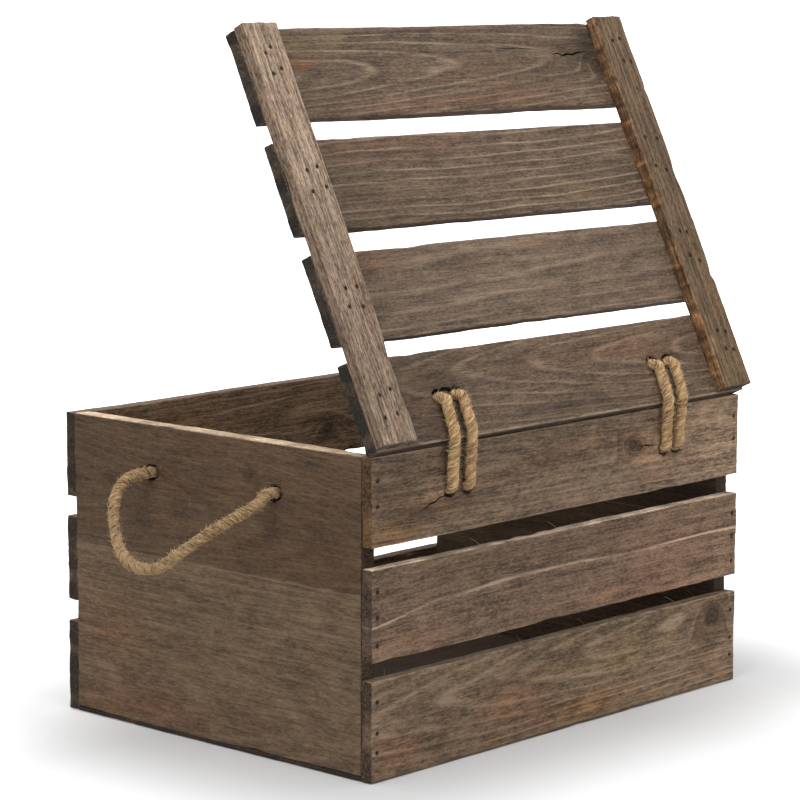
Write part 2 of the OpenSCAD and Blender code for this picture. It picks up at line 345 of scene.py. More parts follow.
def jute(name):
    f = Finish(name)
    lay, groove = f.attribute("lay", "Vector"), f.attribute("groove")
    yarn = f.noise(lay, (110, 700, 700), 3, 0.7)
    fine = f.noise(lay, (420, 1800, 1800), 3, 0.75)
    faded = f.noise(lay, (50, 130, 130), 2)
    pale = 0.50 + yarn * 2.5 + fine * 3.0 + faded * 0.9
    rope = f.mix(pale, (0.10, 0.050, 0.017), (0.86, 0.56, 0.27))
    # Painted shade in the grooves between the strands.
    rope = f.mix(f.between(groove, 0.97, 0.72) * 0.28, rope, (0.10, 0.054, 0.022))
    flecks = f.between(f.noise(lay, (330, 900, 900), 2, 0.6) + yarn * 0.3, 0.10, 0.2)
    rope = f.mix(flecks * 0.7, rope, (0.055, 0.030, 0.013))
    rope = f.mix(1.0, rope, f.attribute("tint", "Color"), "MULTIPLY")
    return f.surface(yarn * 1.0 + fine * 1.2, 0.0009, 1.0, **{
        "Base Color": rope, "Roughness": 0.9, "Specular IOR Level": 0.2,
        "Sheen Weight": 0.45, "Sheen Roughness": 0.35, "Sheen Tint": (1.0, 0.76, 0.5, 1)})


def bare_fibre(name, scale, detail, dark, light, roughness):
    """Loose fibres and splinters."""
    f = Finish(name)
    tone = f.noise(f.node("ShaderNodeTexCoord", out="Object"), (scale, scale, scale), detail)
    return f.surface(tone, 0.0001, 0.3, **{"Base Color": f.mix(0.5 + tone * 1.6, dark, light), "Roughness": roughness})


def nail_iron(name):
    f = Finish(name)
    place = f.node("ShaderNodeTexCoord", out="Object")
    rust = f.between(f.noise(place, (900, 900, 900), 3, 0.6), -0.1, 0.15)
    return f.surface(rust, 0.0001, 0.5, **{
        "Base Color": f.mix(rust, (0.006, 0.005, 0.005), (0.022, 0.013, 0.009)),
        "Roughness": f.between(rust, 0, 1, 0.7, 0.9), "Metallic": f.between(rust, 0, 1, 0.25, 0.05)})


slat_wood = stained_pine(
    "slat_wood", (0.046, 0.030, 0.018), (0.285, 0.195, 0.130), (0.42, 0.31, 0.22), fibre=0.92, pores=0.16)
panel_wood = stained_pine(
    "panel_wood", (0.048, 0.031, 0.019), (0.215, 0.144, 0.093), (0.27, 0.19, 0.13), fibre=0.8, rings=0.7)
lid_wood = stained_pine(
    "lid_wood", (0.058, 0.039, 0.026), (0.285, 0.200, 0.140), (0.47, 0.36, 0.26), fibre=0.9, rings=1.1, sharp=0.16)
batten_wood = stained_pine(
    "batten_wood", (0.080, 0.053, 0.036), (0.37, 0.27, 0.195), (0.54, 0.42, 0.31), fibre=1.3, pores=0.85)
base_wood = stained_pine("base_wood", (0.06, 0.04, 0.026), (0.17, 0.12, 0.082), (0.25, 0.18, 0.13), rings=0.5)
jute_rope = jute("jute_rope")
jute_lint = bare_fibre("jute_lint", 300, 1, (0.42, 0.26, 0.12), (0.95, 0.74, 0.46), 0.85)
splinter_wood = bare_fibre("splinter_wood", 90, 2, (0.22, 0.15, 0.10), (0.62, 0.48, 0.35), 0.8)
iron = nail_iron("nail_iron")


# ---- boards

def lines(half, spacing, near=()):
    """Places of a board's mesh lines along one axis: even in the middle, close at both arrises and round each nail."""
    edge = min(2.2 * MM, half * 0.45)
    middle = np.linspace(edge - half, half - edge, max(2, round(2 * (half - edge) / spacing) + 1))
    arris = half - edge * np.array([0, 0.18, 0.42, 0.7])
    nail = [n + d * MM for n in near for d in (-1.7, -1.1, -0.55, 0, 0.55, 1.1, 1.7)]
    kept = []
    for u in sorted([*-arris, *middle, *arris, *nail]):
        if abs(u) <= half + 1e-9 and (not kept or u - kept[-1] > 0.16 * MM):
            kept.append(u)
    kept[-1] = half
    return np.array(kept)


def lattice_box(axes):
    """A closed box of quads with a vertex at every crossing of the given lines."""
    grid = np.stack(np.meshgrid(*axes, indexing="ij"), -1)
    shape = grid.shape[:3]
    skin = np.ones(shape, bool)
    skin[1:-1, 1:-1, 1:-1] = False
    index = np.full(shape, -1)
    index[skin] = np.arange(skin.sum())
    quads = []
    for axis in range(3):
        for side in (0, -1):
            sheet = np.take(index, side, axis)
            corners = [sheet[:-1, :-1], sheet[1:, :-1], sheet[1:, 1:], sheet[:-1, 1:]]
            if (side == 0) != (axis == 1):
                corners.reverse()
            quads.append(np.stack([c.ravel() for c in corners], 1))
    return grid[skin], np.concatenate(quads)


def worn(points, half, seed, nails, chips, tight):
    """Rounds and wears the arrises, roughens the faces and sinks the nail pits. Points are along, across, through."""
    p = points.copy()
    rng = np.random.default_rng(seed)
    side = (p[:, 1] > 0) * 2 + (p[:, 2] > 0)
    radius = np.zeros(len(p))
    for s in range(4):
        here = side == s
        radius[here] = (0.75 + 0.85 * np.abs(wander(p[:, 0], 23 * MM, seed * 7 + s)) ** 1.5
                        + 0.25 * wander(p[:, 0], 5 * MM, seed * 11 + s))[here] * MM
    radius = np.clip(radius, 0.35 * MM, 2.1 * MM)
    snug = points[:, 1] * np.sign(tight) > half[1] - 3 * MM
    radius[snug] = 0.15 * MM
    radius = radius[:, None]
    core = np.clip(p, radius - half, half - radius)
    out = p - core
    length = np.linalg.norm(out, axis=1, keepdims=True)
    p = np.where(length > 1e-9, core + out / np.maximum(length, 1e-9) * radius, p)

    gap = half - np.abs(points)
    on_end, on_side, on_face = (gap[:, k] < 1e-7 for k in range(3))
    sign = np.sign(points)
    p[:, 0] += on_end * sign[:, 0] * 0.28 * MM * rumple(p[:, 1], p[:, 2], 1.6 * MM, 1.6 * MM, seed + 1)
    p[:, 1] += on_side * (1 - 0.8 * snug) * sign[:, 1] * 0.22 * MM * rumple(p[:, 0], p[:, 2], 14 * MM, 2 * MM, seed + 2)
    p[:, 2] += on_face * sign[:, 2] * 0.10 * MM * rumple(p[:, 0], p[:, 1], 45 * MM, 3 * MM, seed + 3)
    across = wander(p[:, 0], 70 * MM, seed + 4) * 0.35 * MM * (1 - 0.9 * snug)
    p[:, 1] += across * (np.abs(p[:, 1]) / half[1])
    p[:, 0] += sign[:, 0] * (wander(p[:, 1], 9 * MM, seed + 5) - 0.4) * 0.45 * MM * np.exp(-gap[:, 0] / (4 * MM))

    for k in range(chips):
        at, s1, s2 = rng.uniform(-half[0], half[0]), rng.choice([-1, 1]), rng.choice([-1, 1])
        reach, depth = rng.uniform(3, 13) * MM, rng.uniform(0.5, 1.5) * MM
        arris = np.hypot(half[1] - s1 * p[:, 1], half[2] - s2 * p[:, 2])
        share = np.exp(-((p[:, 0] - at) / reach) ** 2) * np.exp(-arris / (1.5 * MM)) * (1 - snug)
        p[:, 1] -= s1 * depth * share
        p[:, 2] -= s2 * depth * share
    p[:, 1] += tight * MM * (points[:, 1] * np.sign(tight) > half[1] - 1e-7)
    proud = half[1] + np.where(snug, max(0.3, abs(tight)), 0.3) * MM
    p[:, 1] = np.clip(p[:, 1], -proud, proud)
    for a, c in nails:
        away = np.hypot(p[:, 0] - a, p[:, 1] - c)
        sunk = on_face & (points[:, 2] > 0)
        p[:, 2] -= sunk * 1.1 * MM * ease(np.clip(1.45 - away / (1.15 * MM), 0, 1))
    return p


def away_from(p, a, c, squash=1.0):
    """How far each point is from (a, c) on the board's face, with the grain's direction squashed."""
    return np.hypot((p[:, 0] - a) * squash, p[:, 1] - c)


def ring_count(p, rings, knots):
    """How many year rings lie between the tree's heart and each point, with the rings pushed aside by the knots."""
    pitch, depth, dive, centre, lean, *course = rings
    heart_across = centre * MM + lean * p[:, 0]
    if course:
        fine = smooth_path(course[0], 4.0)
        heart_across = heart_across + np.interp(p[:, 0], fine[:, 0] * MM, fine[:, 1] * MM)
    below = depth * MM + dive * p[:, 0] + p[:, 2]
    count = np.hypot(p[:, 1] - heart_across, below) / (pitch * MM)
    for a, c, size in knots:
        away = away_from(p, a * MM, c * MM, 0.55) / (size * MM)
        count += 1.5 * size / pitch * np.exp(-(away / 1.5) ** 2)
    return count


def carve(obj, cutter):
    """Takes the cutter's shape out of obj, and the cutter away."""
    cut = obj.modifiers.new("cut", "BOOLEAN")
    cut.operation, cut.solver, cut.object = "DIFFERENCE", "EXACT", cutter
    bake_modifiers(obj)
    bpy.data.objects.remove(cutter)


def drill(obj, half, holes, seed):
    """Cuts the rope holes, worn wider at their mouths and torn along the grain."""
    rng = np.random.default_rng(seed)
    for a, c in holes:
        turns, verts = 36, []
        depth = np.array([-1.4, -1.0, -0.94, -0.8, -0.5, 0, 0.5, 0.8, 0.94, 1.0, 1.4]) * half[2]
        angle = np.arange(turns) / turns * 2 * math.pi
        ragged = sum(rng.uniform(0.05, 0.22) * np.cos(n * angle + rng.uniform(0, 6.3)) for n in (2, 3, 5, 8))
        for t in depth:
            mouth = math.exp(-max(half[2] - abs(t), 0) / (1.3 * MM))
            r = (5.2 + 0.9 * mouth + ragged * (0.4 + 1.3 * mouth)) * MM
            verts += [(a + r[i] * math.cos(angle[i]) * (1 + 0.22 * mouth), c + r[i] * math.sin(angle[i]), t)
                      for i in range(turns)]
        faces = [(j * turns + i, j * turns + (i + 1) % turns, (j + 1) * turns + (i + 1) % turns, (j + 1) * turns + i)
                 for j in range(len(depth) - 1) for i in range(turns)]
        faces += [tuple(range(turns))[::-1], tuple((len(depth) - 1) * turns + i for i in range(turns))]
        carve(obj, add_mesh("hole_cutter", verts, faces))


def split(obj, half, cracks):
    """Opens thin cracks in the outer face. Each is its path, in millimetres, and its greatest width."""
    for path, width in cracks:
        path = np.array(path, float) * MM
        along = np.gradient(path, axis=0)
        across = np.stack([-along[:, 1], along[:, 0]], 1) / np.linalg.norm(along, axis=1, keepdims=True)
        opening = np.sin(np.linspace(0.06, math.pi - 0.06, len(path)))[:, None] * width / 2 * MM
        verts, n = [], len(path)
        for depth, share in ((0.6, 1.0), (-1.0, 0.8), (-3.2, 0.15)):
            for sign in (1, -1):
                verts += [(*place, half[2] + depth * MM) for place in path + sign * across * opening * share]
        faces = [tuple(range(n)) + tuple(range(2 * n - 1, n - 1, -1)),
                 tuple(range(4 * n, 5 * n))[::-1] + tuple(range(5 * n, 6 * n))]
        for layer in (0, 2 * n):
            walls = [layer + i for i in range(n)] + [layer + 2 * n - 1 - i for i in range(n)]
            faces += [(walls[i - 1], walls[i], walls[i] + 2 * n, walls[i - 1] + 2 * n)[::-1] for i in range(2 * n)]
        cutter = add_mesh("crack_cutter", verts, faces)
        tidy = bmesh.new()
        tidy.from_mesh(cutter.data)
        bmesh.ops.recalc_face_normals(tidy, faces=tidy.faces)
        tidy.to_mesh(cutter.data)
        tidy.free()
        carve(obj, cutter)


def make_board(node, axes, body, material, slot, seed, rings, tone=(1, 1, 1), turn=None, knots=(), nails=(),
               holes=(), stains=(), cracks=(), spacing=(3.2, 2.4), chips=5, tight=0, ends=(1, 1, 1), inner=(1, 1, 1),
               crest=None, figure=0.42, accent=0.0):
    """One board in place of a CAD node. Places on it are in millimetres from its middle: along, across.

    rings: their pitch, the heart's depth and dive, its place and lean across the board, and its course if it bends.
    knots: place and size. stains: place, size and colour factor; some are real discolouring, some painted light and
    shade. holes and nails: places. cracks: path and width.
    spacing: of the mesh lines. tight: how far the sides reach past the CAD board where they close a seam.
    tone, ends, inner, crest: colour factors of the board, its sawn ends, its inside face and its top arris; the inside
    face's factor is painted shade below 1 and painted light above, and the top arris's is a painted highlight.
    figure, accent: how plainly the rings show, all over and along the heart's course.
    """
    corners = np.array([v.co for v in frame["nodes"][node].data.vertices])
    if turn is not None:
        back = np.array(turn.inverted())
        corners = corners @ back[:3, :3].T + back[:3, 3]
    low, high = corners.min(0), corners.max(0)
    middle = (low + high) / 2
    basis = np.array([Vector(a) for a in axes])          # rows: along, across, through
    half = np.abs(basis @ (high - low)) / 2
    nails = [(a * MM, c * MM) for a, c in nails]
    holes = [(a * MM, c * MM) for a, c in holes]
    points, quads = lattice_box([
        lines(half[0], spacing[0] * MM, [a for a, c in nails]),
        lines(half[1], spacing[1] * MM, [c for a, c in nails]),
        lines(half[2], 2.4 * MM)])
    obj = add_mesh(node + "_board", worn(points, half, seed, nails, chips, tight), quads, material)
    drill(obj, half, holes, seed)
    split(obj, half, cracks)
    mesh = obj.data
    p = np.zeros(len(mesh.vertices) * 3, np.float32)
    mesh.vertices.foreach_get("co", p)
    p = p.reshape(-1, 3).astype(float)

    gap = np.sort(half - np.abs(p), axis=1)
    rng = np.random.default_rng(seed + 50)
    note(mesh, "grain", "FLOAT_VECTOR", p + rng.uniform(-3, 3, 3))
    note(mesh, "ring", "FLOAT", ring_count(p, rings, knots))
    away = np.full(len(p), 9.0)
    for a, c, size in knots:
        away = np.minimum(away, away_from(p, a * MM, c * MM, 0.8) / (size * MM))
    note(mesh, "knot", "FLOAT", away)
    note(mesh, "edge", "FLOAT", np.exp(-np.maximum(gap[:, 1], 0) / (1.5 * MM)))
    end_gap = half[0] - np.abs(p[:, 0])
    cut = np.clip(1.15 - end_gap / (0.75 * MM), 0, 1)
    colour = np.tile(np.array(tone, float), (len(p), 1))
    colour = colour * (1 + cut[:, None] * (np.array(ends) - 1))
    for a, c in holes:
        mouth = away_from(p, a, c)
        inside = (mouth < 7.4 * MM) & (half[2] - np.abs(p[:, 2]) > 0.35 * MM)
        cut = np.maximum(cut, inside * 1.0)
        cut = np.maximum(cut, 0.5 * np.clip(1.6 - mouth / (6.2 * MM), 0, 1))
    note(mesh, "cut", "FLOAT", cut)
    # Painted shade for the nail pits and the cracks' walls.
    pit = np.zeros(len(p))
    for a, c in nails:
        near = away_from(p, a, c)
        pit = np.maximum(pit, np.clip(1.85 - near / (1.1 * MM), 0, 1) * (p[:, 2] > 0))
    for path, width in cracks:
        near = np.min([away_from(p, a * MM, c * MM) for a, c in path], axis=0)
        deep = half[2] - p[:, 2]
        pit = np.maximum(pit, (near < 5 * MM) * (deep > 0.3 * MM) * (deep < 4 * MM) * (half[1] - np.abs(p[:, 1]) > MM))
    note(mesh, "pit", "FLOAT", pit)
    # Patches of colour factor: real discolouring, and painted light and shade where a factor stands in for how light
    # falls.
    for a, c, size_a, size_c, tint in stains:
        share = np.exp(-((p[:, 0] - a * MM) / (size_a * MM)) ** 2 - ((p[:, 1] - c * MM) / (size_c * MM)) ** 2)
        colour *= 1 + share[:, None] * (np.array(tint) - 1)
    # Painted shade on the inside face; a factor above 1 paints light there instead.
    colour *= 1 + (p[:, 2:] < 0.2 * MM - half[2]) * (np.array(inner) - 1) * (cut < 0.5)[:, None]
    # Painted highlight: the top arris made paler where the overhead light falls on it.
    if crest:
        top = np.clip(1.3 - (half[1] - p[:, 1]) / (0.35 * MM), 0, 1) * (0.8 + 0.35 * wander(p[:, 0], 12 * MM, seed + 9))
        colour *= 1 + top[:, None] * (np.array(crest) - 1)
    strength = np.full((len(p), 1), figure)
    if accent:
        course = smooth_path(rings[5], 4.0) * MM
        strength += accent * np.exp(-((p[:, 1:2] - np.interp(p[:, 0:1], course[:, 0], course[:, 1])) / (3.2 * MM)) ** 2)
    # Colour factors, painted light and shade among them, with the rings' strength in alpha.
    note(mesh, "stain", "FLOAT_COLOR", np.concatenate([colour, strength], 1))

    placed = p @ basis + middle
    if turn is not None:
        forth = np.array(turn)
        placed = placed @ forth[:3, :3].T + forth[:3, 3]
    mesh.vertices.foreach_set("co", placed.astype(np.float32).ravel())
    mesh.shade_smooth()
    mesh.set_sharp_from_angle(angle=SHARP)
    mesh.update()
    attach(obj, body)
    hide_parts(node)


BACK_AXES = ((-1, 0, 0), (0, 0, 1), (0, 1, 0))
FRONT_AXES = ((1, 0, 0), (0, 0, 1), (0, -1, 0))
RIGHT_AXES = ((0, 1, 0), (0, 0, 1), (1, 0, 0))
LEFT_AXES = ((0, -1, 0), (0, 0, 1), (-1, 0, 0))
LID_AXES = ((-1, 0, 0), (0, -1, 0), (0, 0, 1))
BATTEN_AXES = ((0, -1, 0), (1, 0, 0), (0, 0, 1))
BASE_AXES = ((1, 0, 0), (0, 1, 0), (0, 0, 1))

NAIL_IN = 194.5                                   # from the crate's middle to the nails in the side slats
BASE_NAIL_IN, BASE_NAIL_GAP = 193.5, 58           # the base's nails: from the middle, and between two
LID_BOARD = 9.5                                   # thickness of a slat and of a batten of the lid
BATTEN_IN, BATTEN_MIDDLE = 184, 149               # a batten's middle, from the lid's middle and its hinge edge
SLAT_NAIL_UP = {"lower": (20, 33, 54), "middle": (11, 30, 47), "upper": (27, 44)}
LID_NAILS = {                                     # each batten's nails: inset from the slats' ends, up the slat
    1: (((8.5, 18.5), (21, 20), (10.5, 34), (21.8, 37)), ((10.3, 22), (23, 21), (12.3, 34.7), (23, 35)),
        ((12.6, 25), (26.5, 27.5), (13.5, 40), (24, 42)), ((12.9, 29.6), (21.8, 33), (12.2, 44.5), (18.4, 48.7))),
    -1: (((7.5, 28), (15.5, 29.4), (9, 42), (18, 44)), ((9.5, 25.5), (18.5, 30.2), (12.5, 48.6), (20, 50)),
         ((10, 20.7), (20.5, 24.5), (8, 46), (21, 47.7)), ((6, 29.3), (14, 30), (10, 48), (19, 46.6)))}
LID_SLATS = (("hinge", 0, 61), ("second", 73.5, 62.5), ("third", 151.5, 64.5), ("front", 231, 66))


def lid_nails(side):
    """Each nail of one batten: from the lid's middle, and from its hinge edge."""
    return [(200 - inset, start + up) for (_, start, _), row in zip(LID_SLATS, LID_NAILS[side]) for inset, up in row]


def side_nails(node, level):
    low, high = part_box(node)
    half = (high.z - low.z) / 2 / MM
    return [(s * NAIL_IN, up - half) for s in (-1, 1) for up in SLAT_NAIL_UP[level]]


OAKY, RUSTY, DUSKY = (1.22, 1.04, 0.80), (1.12, 0.94, 0.84), (0.62, 0.60, 0.58)
# SUNNY is painted light on a slat's lit end; SHADY is painted shade for the crate's inside faces.
SUNNY, SHADY, DARK_ENDS = (1.38, 1.38, 1.36), (0.55, 0.53, 0.50), (0.50, 0.47, 0.42)


def side_slat(side, level, seed, rings, tone, **notes):
    """One slat of the crate's back or front."""
    node = f"{side}_slat_{level}"
    # The inside face takes SHADY, painted shade, unless the notes give another factor.
    make_board(node, BACK_AXES if side == "back" else FRONT_AXES, "crate", slat_wood, "wood_slat", seed, rings, tone,
               nails=side_nails(node, level), **{"inner": SHADY, **notes})


def end_board(side, level, seed, rings, tone, **notes):
    """One board of the crate's ends. The upper ones carry the handle's holes."""
    upper = level == "upper"
    # The inside face takes SHADY, painted shade.
    make_board(f"end_{side}_{level}", RIGHT_AXES if side == "right" else LEFT_AXES, "crate", panel_wood, "wood_panel",
               seed, rings, tone, tight=-0.28 if upper else 0.28, spacing=(3.2, 2.6 if upper else 2.8), inner=SHADY,
               holes=[(s * HANDLE_HOLE_Y / MM, HANDLE_UP) for s in (-1, 1)] if upper else (), **notes)


side_slat(
    "back", "upper", 21, (3.4, 16, 0.02, 9, -0.03), (1.07, 1.05, 1.01),
    knots=[(73, 7, 5.6), (81, 4, 3.4)], tight=0.3, figure=0.2, ends=(1.6, 1.2, 0.8),
    holes=[(-x, RIM / MM - CRATE_HOLE_DROP - (UPPER_SLAT_FOOT + RIM / MM) / 2) for pair in CRATE_HOLE_X for x in pair],
    cracks=[([(-126, -2.5), (-130, -4), (-134, -4.3), (-139, -7), (-144, -7.6), (-149, -10), (-155, -11)], 1.5),
            ([(80, 5), (84, 4.4), (88, 5), (92, 3.8), (96, 4.2), (100, 3.2)], 1.2)],
    stains=[(-178, -22, 24, 11, OAKY), (86, 3, 24, 10, (1.12, 1.09, 1.06)), (84, -6, 9, 3, (1.3, 1.18, 1.12)),
            (90, 4, 12, 2.6, (0.6, 0.57, 0.54)), (74, 7, 8, 6, (0.74, 0.70, 0.64)),
            (-120, -8, 34, 7, (0.8, 0.74, 0.68)), (-143, -2, 16, 3.5, (1.9, 1.75, 1.65)),
            (-152, -12, 24, 4, (0.6, 0.56, 0.52)), (-100, 4, 9, 5, (1.4, 1.3, 1.2)),
            # The next patch and the last two are painted light and shade: the slat darker towards its +x end and
            # lighter through the middle to its -x end.
            (-175, 5, 26, 30, (0.75, 0.74, 0.70)), (-20, 16, 70, 12, (0.85, 0.84, 0.84)),
            (190, 0, 70, 60, (2.1, 2.12, 2.1)), (40, 0, 120, 60, (1.2, 1.2, 1.2))])
side_slat(
    "back", "middle", 22,
    (8, 10, 0.0, -158.4, 0.0, [(-203, -8), (-190, -5.5), (-177, -3), (-155, 0.8), (-131, 3.5), (-66, 5.4), (16, 4.6),
                               (102, 4.1), (161, 5.9), (206, 5.5)]),
    # Painted highlight along this slat's top arris.
    (1.17, 1.11, 1.09), crest=(4.6, 5.4, 6.2), figure=0.06, accent=1.8, knots=[(-78, -18, 1.6)], ends=(0.9, 0.85, 0.8),
    # The third patch here, SUNNY, is painted light on the slat's -x end.
    stains=[(110, -8, 70, 26, (1.06, 0.96, 0.96)), (-150, -20, 50, 14, (1.06, 1.0, 0.98)), (200, 0, 110, 60, SUNNY),
            (-110, 20, 120, 13, (0.84, 0.83, 0.81)), (80, 22, 160, 12, (0.90, 0.89, 0.87))])
side_slat(
    "back", "lower", 23, (4.6, 24, -0.06, 14, 0.05), (1.10, 1.07, 1.0), knots=[(172, 19.5, 9.5)], ends=(1.0, 0.9, 0.8),
    stains=[(-60, -2, 34, 12, RUSTY), (20, -22, 46, 8, OAKY), (-170, -18, 26, 12, RUSTY),
            # The second patch here is painted light on the slat's -x end.
            (60, 10, 60, 12, (1.05, 1.05, 0.92)), (200, 0, 120, 60, (1.42, 1.43, 1.45)),
            (158, 2, 12, 17, (0.74, 0.66, 0.56)), (172, 19.5, 8, 9, (0.55, 0.44, 0.34)),
            # Painted contact shadow: a dark line along the bottom arris.
            (0, -34, 400, 1.5, (0.35, 0.32, 0.30))])
side_slat("front", "upper", 31, (4.2, 30, 0.03, 5, 0.02), (0.93, 0.9, 0.88), knots=[(-60, -10, 6)],
          # Painted light on this slat's inside face.
          stains=[(120, 5, 60, 14, RUSTY)], inner=(1.45, 1.42, 1.3), ends=DARK_ENDS)
side_slat("front", "middle", 32, (5.5, 60, 0.1, -20, 0.0), (1.0, 0.96, 0.93),
          stains=[(-100, 5, 50, 14, OAKY)], ends=DARK_ENDS)
side_slat("front", "lower", 33, (3.6, 22, -0.05, -8, 0.03), (0.97, 0.94, 0.9), knots=[(120, -6, 9)],
          stains=[(-40, -10, 60, 10, RUSTY)], ends=DARK_ENDS)

HANDLE_UP = HANDLE_Z / MM - (END_SEAM + RIM / MM) / 2
# Painted highlight along the top arris.
end_board("right", "upper", 41, (3.3, 46, 0.07, -12, -0.05), (0.84, 0.75, 0.64), figure=0.3, crest=(7.6, 9.4, 11.2),
          knots=[(37, HANDLE_UP + 9, 3.0), (44, HANDLE_UP + 4, 2.2), (-54, 38, 1.5)],
          stains=[(120, -22, 60, 40, (0.86, 0.82, 0.76)), (-110, 20, 40, 18, (0.9, 0.9, 0.9)),
                  (149, 0, 1.8, 90, (1.7, 1.5, 1.4))])
end_board("right", "lower", 42, (4.1, 75, 0.04, -34, 0.03), (1.17, 1.14, 1.03), figure=0.34, knots=[(4, 16, 1.6)],
          stains=[(-60, -44, 60, 14, (1.10, 0.92, 0.88)), (-100, 10, 34, 30, (1.14, 1.0, 0.92)),
                  (-10, 20, 60, 30, (0.94, 0.96, 0.94)), (149, 0, 1.8, 120, (1.7, 1.5, 1.4))])
# Painted highlight along the top arris.
end_board("left", "upper", 43, (3.8, 34, -0.06, 8, 0.02), (0.95, 0.91, 0.85), crest=(3.0, 3.0, 3.0),
          knots=[(-90, 10, 7)], stains=[(60, -10, 60, 18, RUSTY)])
end_board("left", "lower", 44, (4.4, 52, 0.05, 20, -0.02), (1.06, 1.02, 0.94),
          knots=[(70, -20, 6)], stains=[(-60, 20, 60, 24, OAKY)])
make_board("base_sheet", BASE_AXES, "crate", base_wood, "wood_base", 45, (9, 120, 0.05, 40, 0.03), (0.40, 0.36, 0.30),
           spacing=(6, 6), chips=3)

# Painted shade over the +x part of the lid's slats, beside the batten.
LEFT_DIM = (-170, 0, 70, 60, (0.78, 0.78, 0.77))
torn_up = LID_HOLE_V - LID_SLATS[0][2] / 2 + 3
LID_LOOKS = (
    dict(rings=(4.4, 20, -0.06, 12, -0.02), tone=(0.90, 0.86, 0.80), figure=0.4, tight=-1.0,
         holes=[(-x, LID_HOLE_V - LID_SLATS[0][2] / 2) for pair in LID_HOLE_X for x in pair],
         cracks=[([(-124.5, torn_up), (-119, torn_up + 1.5), (-113, torn_up + 0.5), (-107, torn_up)], 6.0)],
         # The third patch here is painted shade over the slat's +x part.
         stains=[(110, 12, 50, 14, (1.12, 1.02, 0.95)), (20, -24, 60, 8, DUSKY), (-150, 0, 60, 60, (0.6, 0.58, 0.56)),
                 (170, 0, 40, 60, (0.82, 0.82, 0.8))]),
    dict(rings=(7.5, 60, 0.01, 40, 0.02), tone=(1.01, 1.0, 0.97), figure=0.3,
         stains=[(-150, 22, 40, 8, RUSTY), (40, 0, 60, 20, (1.05, 1.06, 1.04)), LEFT_DIM]),
    dict(rings=(6.0, 30, 0.0, 62, 0.0, [(-205, -2), (-120, 0), (0, -1), (90, 1), (205, 6)]), tone=(0.92, 0.90, 0.86),
         figure=0.62,
         # The first patch here is painted shade over the slat's +x part.
         stains=[(-150, 0, 60, 60, (0.91, 0.90, 0.88)), (-80, 22, 80, 10, (1.06, 0.92, 0.9)),
                 (60, -20, 60, 8, (1.1, 1.06, 0.98)), LEFT_DIM]),
    dict(rings=(4.5, 16.3, 0.05, 4, 0.03), tone=(0.92, 0.90, 0.85), figure=0.5, knots=[(164, 0, 5.5)],
         cracks=[([(114, 9.5), (119, 8), (124, 8.8), (129, 6.8), (134, 8), (140, 7.4), (147, 8.8), (154, 9.2),
                   (161, 10)], 1.9),
                 ([(48, 15), (60, 14), (70, 13.4), (80, 14), (90, 13), (100, 12.6), (107, 11.6)], 0.8)],
         stains=[(-146, 6, 7, 3, (1.5, 1.1, 0.7)), (-120, 20, 40, 8, (1.08, 1.1, 1.0)),
                 (150, 8, 26, 15, (0.66, 0.66, 0.64)), (161, 16, 14, 13, (0.32, 0.31, 0.29)),
                 (90, 0, 60, 40, (0.9, 0.9, 0.88)), (0, -26, 120, 6, (1.08, 0.9, 0.86)), LEFT_DIM]))
for k, (slat, looks) in enumerate(zip(LID_SLATS, LID_LOOKS)):
    make_board("lid_slat_" + slat[0], LID_AXES, "lid", lid_wood, "wood_lid", 51 + k, turn=open_lid,
               ends=(0.45, 0.48, 0.52), **looks)

dice = np.random.default_rng(9)
torn_side = [(at, 17, dice.uniform(0.6, 2.4), dice.uniform(1.0, 3.0),
              (1.55, 1.5, 1.4) if dice.random() < 0.4 else (0.58, 0.55, 0.52))
             for at in dice.uniform(-147, 147, 150)]
BATTEN_LOOKS = {
    1: dict(rings=(3.0, 90, 0.01, 60, 0.015), tone=(1.17, 1.15, 1.12), spacing=(3.0, 2.0), chips=9,
            # The second patch is painted shade on the batten's outer side face; the third is a pale line by the arris,
            # rubbed wear with a painted highlight.
            stains=[(90, 0, 90, 40, (1.36, 1.38, 1.40)), (0, 16.6, 400, 2.1, (0.72, 0.68, 0.64)),
                    (0, 12.4, 400, 0.9, (1.35, 1.32, 1.27))]),
    -1: dict(rings=(3.6, 60, 0.02, -40, 0.02), tone=(0.72, 0.65, 0.50), spacing=(1.2, 2.0), chips=24,
             stains=[(0, 17, 400, 2.6, (1.06, 0.84, 0.64)), *torn_side, (-60, 0, 60, 8, (0.88, 0.84, 0.8)),
                     (-112, 12, 5, 3, (1.9, 1.9, 1.8))])}
for side, name in ((1, "right"), (-1, "left")):
    make_board("lid_batten_" + name, BATTEN_AXES, "lid", batten_wood, "wood_batten", 61 + side, turn=open_lid,
               figure=0.35, nails=[(v - BATTEN_MIDDLE, side * (at - BATTEN_IN)) for at, v in lid_nails(side)],
               **BATTEN_LOOKS[side])


# ---- nails and splinters: Geometry Nodes

